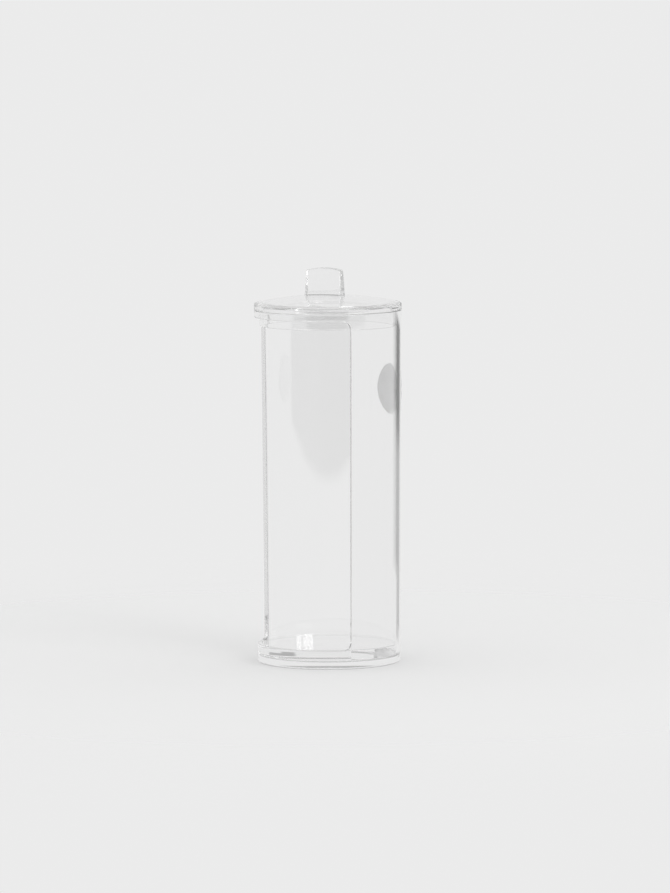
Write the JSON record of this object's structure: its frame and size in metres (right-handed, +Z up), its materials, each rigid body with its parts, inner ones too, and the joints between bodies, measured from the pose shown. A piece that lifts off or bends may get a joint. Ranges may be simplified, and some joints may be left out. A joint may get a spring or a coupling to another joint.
{
  "type": "cotton pad container",
  "caption": "Tall clear plastic tube for round cotton pads, with a wide side opening, a bonded base and a domed lift-off lid with a block knob.",
  "frame": {"origin": "centre of the base's underside, on the surface that the container stands on", "axes": "+Z up along the tube, -Y out of the middle of the side opening, +X to the right of someone facing the opening"},
  "size_m": [0.0694, 0.0694, 0.1856],
  "materials": {
    "clear_base": "clear colourless moulded plastic, polished",
    "clear_tube": "clear colourless moulded plastic, polished",
    "clear_lid": "clear colourless moulded plastic, polished",
    "label_paper": "matt light grey paper sticker, bare of print"
  },
  "bodies": {
    "container": {"base": "clear_base", "tube": "clear_tube", "label": "label_paper"},
    "lid": {"lid": "clear_lid"}
  },
  "joints": [
    {"name": "lid_lift", "type": "slide", "parent": "container", "child": "lid", "axis": [0, 0, 1], "range_m": [0, 0.04]}
  ]
}
